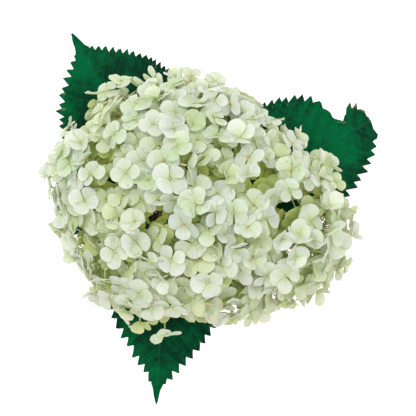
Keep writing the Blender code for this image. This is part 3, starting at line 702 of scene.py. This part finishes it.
def makeLeaf(name, leaf):
    dice = random.Random(leaf["seed"])
    line = midribLine(leaf, 160)
    whole = leaf["petiole"] + leaf["blade"]
    lift = math.tan(math.radians(leaf["fold"]))
    rows = round(5 * max(leaf["teeth"]) / leaf["toothed"])
    bm = bmesh.new()
    blade = bm.verts.layers.float_vector.new("blade")
    marks = bm.verts.layers.float_vector.new("marks")
    made = bmesh.ops.create_grid(bm, x_segments=bladeShape["columns"], y_segments=rows, size=1)
    toothSizes = [dice.uniform(0.75, 1.2) for _ in range(2 * max(leaf["teeth"]) + 4)]
    for vert in made["verts"]:
        side, share = vert.co.x, (vert.co.y + 1) / 2
        hand = 0 if side < 0 else 1  # left, right
        half = leaf["width"] / 2 * readCurve(leaf["outlines"][hand], share) * leaf["sides"][hand]
        outer = ease(0.62, 1.0, abs(side))
        # teeth: each grows towards the tip, then cuts back
        tooth, lean = 0, 0
        if share < leaf["toothed"]:
            turn = share / leaf["toothed"] * leaf["teeth"][hand] + 0.4 * hand + 1e-6
            grown = turn % 1
            size = toothSizes[int(turn) * 2 + hand] * min(1, half / (11 * mm)) * ease(0, 0.08, share)
            tooth = bladeShape["tooth"] * size * (grown ** 1.3 * 1.3 - 0.85)
            lean = bladeShape["lean"] * size * grown ** 2
        if "bite" in leaf and side < 0:
            begins, deepest, rises, ends, deep = leaf["bite"]
            if begins < share < ends:
                missing = clamp((share - begins) / (deepest - begins)) ** 1.6
                missing *= clamp((ends - share) / (ends - rises))
                tooth = tooth * (1 - missing) - deep * missing
                lean *= 1 - missing
                outer = max(outer, ease(0.3, 1.0, abs(side)))
        across = abs(side) * half + tooth * outer
        point, along, left = lineAt(line, (leaf["petiole"] + leaf["blade"] * share) / whole)
        over = along.cross(left)
        relief = bladeRelief(leaf, side, share, across, half)
        sign = 1 if side > 0 else -1
        vert.co = point - left * sign * across + over * (across * lift + relief) + along * lean * outer
        # the third value is painted light: each half lighter or darker for its tilt
        vert[blade] = (sign * across * 100, share * leaf["blade"] * 100, leaf["paintedSideLight"][hand])
        scorched = 0
        if "bite" in leaf and side < 0:  # the teeth past the bite have dried brown
            scorched = ease(*bladeShape["scorched"], share) * ease(half - 2.5 * mm, half + 0.5 * mm, across)
            scorched *= 0.4 + dice.random() * 0.5
        vert[marks] = (scorched, veinRun(across) * 100, 0)
    giveThickness(bm, list(bm.faces), bladeShape["thickness"], 1)
    # the stalk runs on under the blade as its midrib
    steps = 26
    path, radii = [], []
    for step in range(steps + 1):
        share = step / steps * 0.96
        point, along, left = lineAt(line, share)
        over = along.cross(left)
        bladeShare = clamp((share * whole - leaf["petiole"]) / leaf["blade"])
        thick, thin = bladeShape["midrib"]
        radius = thick + (thin - thick) * bladeShare
        sink = 0
        if bladeShare > 0:
            half = leaf["width"] / 2 * readCurve(leaf["outlines"][0], bladeShare)
            sunk = radius + bladeShape["thickness"] * 0.5 - bladeRelief(leaf, 0, bladeShare, 0, half)
            sink = sunk * ease(0, 0.05, bladeShare)
        path.append(point - over * sink)
        radii.append(radius)
    growTube(bm, path, radii, 10, index=2)
    bmesh.ops.recalc_face_normals(bm, faces=bm.faces)
    finishPiece(name + "_blade", bm, [leafTop, leafUnder, petioleFinish], [name], sharpAngle=70)


for leafName, leafShape in leafShapes.items():
    makeLeaf(leafName, {**plainLeaf, **leafShape})
print("leaves cut and veined")


headShape = {
    "centre": Vector((11.6 * mm, -1.2 * mm, upperWhorl + 56 * mm)), "radius": 78.5 * mm,
    "rise": 58 * mm, "drop": 34 * mm, "skirt": math.radians(116),
    # each lobe is (how many times round, share of the radius, where it peaks)
    "lobes": ((2, 0.12, math.radians(-18.6)), (3, 0.063, math.radians(-9.2)), (4, 0.04, math.radians(-18.5))),
}
crownShape = {
    "below": 26 * mm, "stalk": 3 * mm, "radius": 5 * mm, "height": 7 * mm, "rays": 6,
    "spread": math.radians(68), "rise": 12 * mm, "length": 30 * mm, "ray": 1.6 * mm, "knuckle": 3.0 * mm,
    "flare": (3.6 * mm, 4.6 * mm, 5 * mm, 3.2 * mm), "rayFoot": (2.2 * mm, 2.0 * mm, 1.8 * mm, 1.7 * mm),
    "clusters": 24,
}


def headRadius(azimuth):
    lobes = sum(share * math.cos(order * (azimuth - peak)) for order, share, peak in headShape["lobes"])
    return headShape["radius"] * (1 + lobes)


def headPlace(polar, azimuth):  # (point on the head, direction it faces)
    flat = headRadius(azimuth)
    tall = headShape["rise"] if polar < math.pi / 2 else headShape["drop"]
    side = Vector((math.cos(azimuth), math.sin(azimuth), 0))
    point = headShape["centre"] + side * flat * math.sin(polar) + up * tall * math.cos(polar)
    return point, (side * math.sin(polar) / flat + up * math.cos(polar) / tall).normalized()


def spiral(count, lowest):  # evenly spread (polar, azimuth) from the top down to the lowest polar angle
    for step in range(count):
        level = 1 - (step + 0.5) / count * (1 - math.cos(lowest))
        yield math.acos(level), step * goldenAngle


crownBase = headShape["centre"] - up * crownShape["below"]
crownTop = crownBase + up * crownShape["height"]


def rayPaths():  # (bend, end, direction) of each ray of the flower stalk
    paths = [(crownTop + up * crownShape["rise"] / 2, crownTop + up * crownShape["length"] * 0.6, up)]
    for number in range(crownShape["rays"]):
        azimuth = fullTurn * number / crownShape["rays"]
        side = Vector((math.cos(azimuth), math.sin(azimuth), 0))
        out = side * math.sin(crownShape["spread"]) + up * math.cos(crownShape["spread"])
        bend = crownTop + side * (crownShape["radius"] + crownShape["rise"]) + up * crownShape["rise"] / 3
        reach = crownShape["length"] * headRadius(azimuth) / headShape["radius"]
        paths.append((bend, bend + out * (reach - crownShape["rise"] / 2), out))
    return paths


def makeFlowerStalk():
    bm = bmesh.new()
    foot = Vector((0, 0, stemTop + 0.3 * mm))
    path = bendPath(foot, up, crownBase, up, 8) + [crownBase + up * 3 * mm, crownTop]
    radii = [*[crownShape["stalk"]] * 7, *crownShape["flare"]]
    growTube(bm, path, radii, 16)
    for bend, end, out in rayPaths():
        start = crownBase + up * 4 * mm
        path = bendPath(start, (bend - start).lerp(out * 0.01, 0.3), end, out, 9)
        radii = [*crownShape["rayFoot"], *[crownShape["ray"]] * 4, 2.4 * mm, crownShape["knuckle"] * 0.8]
        growTube(bm, path, radii, 12)
    bmesh.ops.recalc_face_normals(bm, faces=bm.faces)
    finishPiece("flower_stalk_crown", bm, [stalkFinish], ["flower_stalk"])


makeFlowerStalk()

floretShape = {
    "foot": 0.6 * mm, "length": 8.7 * mm, "width": 10.4 * mm, "thickness": 0.25 * mm, "eye": 0.6 * mm,
    "sepals": 4, "patterns": 16, "open": (-0.1, 0.12), "halfOpen": (0.35, 0.8), "halfOpenEvery": 4,
}


def makeFloretPattern(seed):
    dice = random.Random(seed)
    bm = bmesh.new()
    petal = bm.verts.layers.float_vector.new("petal")
    bm.verts.layers.float_vector.new("tint")
    opening = dice.uniform(*floretShape["open" if seed % floretShape["halfOpenEvery"] else "halfOpen"])
    for number in range(floretShape["sepals"]):
        made = bmesh.ops.create_grid(bm, x_segments=4, y_segments=3, size=1)
        length = floretShape["length"] * dice.uniform(0.85, 1.1)
        width = floretShape["width"] * dice.uniform(0.82, 1.12)
        cup, curl = dice.uniform(-1.1, 1.7) * mm, dice.uniform(-1.0, 1.3) * mm
        ripple = dice.uniform(0, 50)
        for vert in made["verts"]:
            a, b = vert.co.x, vert.co.y
            x, y = a * math.sqrt(1 - b * b / 2), b * math.sqrt(1 - a * a / 2)  # the square grid made round
            share = (y + 1) / 2
            across = x * width / 2 * (0.46 + 0.54 * ease(0, 0.5, share))
            height = cup * share ** 2 + curl * x * x * share
            height += 0.9 * mm * noise.noise((x * 1.5, y * 1.5, ripple))
            height += (0.4 if number % 2 else 0.0) * mm - 0.45 * mm * (1 - abs(x)) * share
            vert.co = Vector((across, floretShape["foot"] + share * length, height))
            vert[petal] = (x, share, 0)
        azimuth = fullTurn * number / floretShape["sepals"] + dice.uniform(-0.2, 0.2)
        tilt = Matrix.Rotation(opening + dice.uniform(-0.22, 0.26), 4, "X")
        twist = Matrix.Rotation(dice.uniform(-0.4, 0.4), 4, "Y")
        turn = Matrix.Rotation(azimuth, 4, "Z") @ (tilt @ twist)
        bmesh.ops.transform(bm, matrix=turn, verts=made["verts"])
    giveThickness(bm, list(bm.faces), floretShape["thickness"], 0)
    bmesh.ops.recalc_face_normals(bm, faces=bm.faces)
    made = bmesh.ops.create_icosphere(
        bm, subdivisions=1, radius=floretShape["eye"], matrix=Matrix.Translation((0, 0, 0.4 * mm)))
    for face in {face for vert in made["verts"] for face in vert.link_faces}:
        face.material_index = 1
    return toMesh("floret_pattern", bm)


floretPatterns = [makeFloretPattern(seed) for seed in range(floretShape["patterns"])]

fillShape = {
    "seed": 44, "outerSpacing": 10.8 * mm, "outerDepths": (-4.0, 5.5),  # in mm, negative stands out
    "layers": ((15 * mm, 8 * mm, 14 * mm), (16 * mm, 16 * mm, 22 * mm)),  # spacing and depths underneath
    "outerTries": 7000, "innerTries": 5000, "innerSkirt": math.radians(108),
    "loose": 0.34, "looserAtRim": 0.16, "sizes": (0.88, 1.16), "innerSize": 0.92, "smallerAtRim": 0.14,
    "green": (0.10, 0.15), "greenest": (0.45, 0.9), "greenestShare": 0.14, "orangeEyes": 0.3,
    # gaps at the rim, as (x, y, clear radius) in mm from the plant's middle
    "notches": (
        (-28, 69, 14), (-58, 54, 10), (-41, -73, 8), (-26, -79, 12), (-6, -83, 18), (11, -81, 12),
        (37, -79, 9), (104, 8, 8),
    ),
    # dark hollows between the florets, given the same way, and the share of them that each layer leaves clear
    "hollows": (
        (-40, 28, 9), (-34.5, 13.5, 8), (21.6, 16.5, 8.5), (54, 16.5, 8.5), (77.6, 1.7, 9), (65.8, -10, 8),
        (-10.9, -10, 8.5), (1, -21.5, 8.5), (39.3, -51.4, 8.5),
    ),
    "hollowShares": (1.2, 1.05, 0.78),
}
# florets that stand out: (place from the head's middle in mm, aim, spin in degrees, size, green, pattern)
strayFlorets = (
    ((-51.5, 68.5, 4), (-0.3, 0.5, 0.7), 20, 0.85, 0.55, 1),
    ((-44.0, 74.5, 4), (0.1, 0.75, 0.55), 45, 0.90, 0.60, 5),
    ((-33.0, 71.0, 0), (0.35, 0.9, 0.15), 10, 0.85, 0.70, 4),
    ((-41.0, 65.0, -4), (-0.1, 0.9, 0.3), 30, 0.80, 0.55, 8),
    ((-17.5, -79.0, -16), (0.1, -0.95, 0.28), 0, 1.05, 0.40, 2),
    ((92.0, -14.0, -9), (0.97, 0.1, 0.1), 15, 0.75, 0.20, 3),
    ((92.5, -36.0, -15), (0.8, -0.5, 0.05), 40, 0.75, 0.00, 4),
    ((83.0, 24.0, -4), (0.75, 0.6, 0.1), 25, 0.85, 0.15, 8),
    ((25.0, -68.5, -16), (0.2, -0.9, 0.15), 0, 0.80, 0.40, 5),
    ((56.0, -57.5, -14), (0.5, -0.8, 0.1), 45, 0.75, 0.50, 6),
    ((-76.0, 14.0, -6), (-0.8, 0.1, 0.45), 10, 0.80, 0.10, 7),
)


def inGap(point, gaps, share):
    return any(math.hypot(point.x - x * mm, point.y - y * mm) < radius * mm * share for x, y, radius in gaps)


def spacedPlaces():  # (point, facing, polar, layer) of every floret, layer 0 being the outermost
    def clear(point, layer):
        onTop = point.z > headShape["centre"].z
        hollow = onTop and inGap(point, fillShape["hollows"], fillShape["hollowShares"][layer])
        return not hollow and not inGap(point, fillShape["notches"], 1)

    layers = [(fillShape["outerSpacing"], fillShape["outerTries"], headShape["skirt"])]
    for spacing, _, _ in fillShape["layers"]:
        layers.append((spacing, fillShape["innerTries"], fillShape["innerSkirt"]))
    found = []
    for layer, (spacing, tries, lowest) in enumerate(layers):
        taken = []
        for polar, azimuth in spiral(tries, lowest):
            point, facing = headPlace(polar, azimuth + layer)
            if all((point - other).length >= spacing for other in taken) and clear(point, layer):
                taken.append(point)
                found.append((point, facing, polar, layer))
    return found


def pickFlorets():
    dice = random.Random(fillShape["seed"])
    florets = []
    for point, facing, polar, layer in spacedPlaces():
        loose = Vector([dice.gauss(0, 1) for _ in range(3)])
        atRim = ease(1.1, 1.6, polar)
        aim = (facing + loose * (fillShape["loose"] + fillShape["looserAtRim"] * atRim)).normalized()
        # deep is the share of painted shade: more for sunken florets and for those facing down under the rim,
        # partly the real greener colour of inner florets
        if layer:
            sink = dice.uniform(*fillShape["layers"][layer - 1][1:])
            deep = clamp(sink / (15 * mm), 0, 0.97)
        else:
            sink = dice.uniform(*fillShape["outerDepths"]) * mm
            deep = clamp((sink - 1 * mm) / (12 * mm), 0, 0.5)
        deep = max(deep, ease(1.45, 2.0, polar) * 0.6)
        green = clamp(dice.gauss(*fillShape["green"]))
        if dice.random() < fillShape["greenestShare"]:
            green = dice.uniform(*fillShape["greenest"])
        # sepal tips fade to a warm colour at random, and the florets at the front of the head get more of it
        # as painted shade, most where they turn sideways
        warm = clamp(dice.gauss(0.0, 0.2)) + 0.3 * ease(0, 0.06, -point.y)
        warm += 0.6 * clamp(abs(loose.x)) * ease(0.05, 0.07, -point.y)
        smaller = fillShape["innerSize"] if layer else 1 - fillShape["smallerAtRim"] * atRim
        florets.append({
            "place": point - facing * sink, "aim": aim, "spin": dice.uniform(0, fullTurn),
            "size": dice.uniform(*fillShape["sizes"]) * smaller, "tint": (green, deep, clamp(warm)),
            "eye": 1 if dice.random() < fillShape["orangeEyes"] else 2,
            "pattern": dice.randrange(floretShape["patterns"]),
        })
    for place, aim, spin, size, green, pattern in strayFlorets:
        florets.append({
            "place": headShape["centre"] + Vector(place) * mm, "aim": Vector(aim).normalized(),
            "spin": math.radians(spin), "size": size, "tint": (green, 0.1, 0.15), "eye": 2, "pattern": pattern,
        })
    return florets


def nearest(point, others):
    return min(range(len(others)), key=lambda number: (others[number] - point).length)


clusterShape = {
    "fork": 22 * mm, "stalk": (1.1 * mm, 1.0 * mm, 1.0 * mm, 1.1 * mm, 1.7 * mm, 1.4 * mm), "stalkSides": 8,
    "pedicel": (0.6 * mm, 0.5 * mm, 0.45 * mm, 0.45 * mm, 0.45 * mm, 0.6 * mm), "pedicelSides": 6,
    "buds": 5, "budStalk": (0.5 * mm, 0.4 * mm, 0.35 * mm, 0.35 * mm), "budStalkSides": 5,
}


def makeCluster(number, middle, ray, florets):
    name = f"floret_cluster_{number:02d}"
    knuckle = ray[1]
    fork = middle + (knuckle - middle).normalized() * clusterShape["fork"]
    out = (fork - knuckle).normalized()
    sepals = bmesh.new()
    stalks = bmesh.new()
    sepals.verts.layers.float_vector.new("petal")
    sepals.verts.layers.float_vector.new("tint")
    path = bendPath(knuckle + out * 1.5 * mm, out, fork + out * 3 * mm, out, 5)
    growTube(stalks, path, clusterShape["stalk"], clusterShape["stalkSides"])
    for floret in florets:
        vertsBefore, facesBefore = len(sepals.verts), len(sepals.faces)
        sepals.from_mesh(floretPatterns[floret["pattern"]])
        sepals.verts.ensure_lookup_table()
        sepals.faces.ensure_lookup_table()
        tint = sepals.verts.layers.float_vector["tint"]
        newVerts = sepals.verts[vertsBefore:]
        turn = floret["aim"].to_track_quat("Z", "Y").to_matrix().to_4x4()
        turn = turn @ Matrix.Rotation(floret["spin"], 4, "Z") @ Matrix.Scale(floret["size"], 4)
        bmesh.ops.transform(sepals, matrix=Matrix.Translation(floret["place"]) @ turn, verts=newVerts)
        for vert in newVerts:
            vert[tint] = floret["tint"]
        for face in sepals.faces[facesBefore:]:
            if face.material_index == 1:
                face.material_index = floret["eye"]
        neck = floret["place"] - floret["aim"] * 0.6 * mm
        path = bendPath(fork + out * 1.5 * mm, (neck - fork).normalized() + out * 0.5, neck, floret["aim"], 5)
        growTube(stalks, path, clusterShape["pedicel"], clusterShape["pedicelSides"])
    dice = random.Random(number)
    for _ in range(clusterShape["buds"]):  # small green buds on short stalks, below the florets
        lean = Vector([dice.gauss(0, 1) for _ in range(3)]) * 0.6
        tip = fork + (out + lean).normalized() * dice.uniform(7, 13) * mm
        path = bendPath(fork + out * 2 * mm, out, tip, lean + out, 3)
        growTube(stalks, path, clusterShape["budStalk"], clusterShape["budStalkSides"])
        made = bmesh.ops.create_icosphere(
            stalks, subdivisions=1, radius=dice.uniform(0.7, 1.1) * mm, matrix=Matrix.Translation(tip))
        for face in {face for vert in made["verts"] for face in vert.link_faces}:
            face.material_index = 1
    bmesh.ops.recalc_face_normals(stalks, faces=stalks.faces)
    sepalFinishes = [sepalFinish, eyeFinish, greenEyeFinish]
    finishPiece(name + "_sepals", sepals, sepalFinishes, [name], sharpAngle=60)
    finishPiece(name + "_stalks", stalks, [pedicelFinish, budFinish], [name])


def makeHead():
    directions = spiral(crownShape["clusters"], headShape["skirt"])
    middles = [headPlace(polar, azimuth)[0] for polar, azimuth in directions]
    florets = pickFlorets()
    groups = [[] for _ in middles]
    for floret in florets:
        groups[nearest(floret["place"], middles)].append(floret)
    rays = rayPaths()
    for number, (middle, group) in enumerate(zip(middles, groups), start=1):
        ray = rays[nearest(middle, [end for _, end, _ in rays])]
        makeCluster(number, middle, ray, group)
    print("flower head filled with", len(florets), "florets")


makeHead()
for pattern in floretPatterns:
    bpy.data.meshes.remove(pattern)


studio = {
    "world": 0.6, "floorGlow": 0.5, "colour": (0.985, 0.99, 1.0), "floorHalf": 20, "floorGap": 0.1 * mm,
    # each softbox is (place, width, power)
    "key": ((-0.6, 0.75, 1.7), 0.6, 9.5), "fill": ((0.35, -0.15, 2.0), 1.2, 11.5),
    "camera": (0.0204, -0.003, 1.261), "lens": 144, "sensor": 36,
}


def addSoftLight(name, target, place, size, power):
    lamp = bpy.data.lights.new(name, "AREA")
    lamp.color = studio["colour"]
    lamp.shape = "DISK"
    lamp.size = size
    lamp.energy = power
    light = addObject(name, lamp)
    light.location = place
    light.rotation_euler = (Vector(target) - Vector(place)).to_track_quat("-Z", "Y").to_euler()


def makeStudio():
    scene = bpy.context.scene
    scene.view_settings.view_transform = "Standard"
    floorShape = bmesh.new()
    bmesh.ops.create_grid(
        floorShape, x_segments=1, y_segments=1, size=studio["floorHalf"],
        matrix=Matrix.Translation((0, 0, -studio["floorGap"])))
    floor = addObject("studio_floor", toMesh("studio_floor", floorShape))
    paper = newFinish("pale_paper", 0.9, 0.1, Emission_Strength=studio["floorGlow"])
    paper.node_tree.nodes["Principled BSDF"].inputs["Emission Color"].default_value = (1, 1, 1, 1)
    fibres = cloudy(paper, objectPlace(paper), 3)
    joinFinish(paper, blend(paper, fibres, (0.93, 0.93, 0.93), (0.95, 0.95, 0.95)))
    floor.data.materials.append(paper)
    world = bpy.data.worlds.new("studio_world")
    world.use_nodes = True
    sky = world.node_tree.nodes["Background"].inputs
    sky["Color"].default_value = (*studio["colour"], 1)
    sky["Strength"].default_value = studio["world"]
    scene.world = world
    headTop = (0, 0, headShape["centre"].z)
    addSoftLight("key_softbox", headTop, *studio["key"])
    addSoftLight("fill_softbox", headTop, *studio["fill"])
    camera = bpy.data.cameras.new("overhead_camera")
    camera.lens = studio["lens"]
    camera.sensor_width = studio["sensor"]
    scene.camera = addObject("overhead_camera", camera)
    scene.camera.location = studio["camera"]


makeStudio()
print("studio lit")
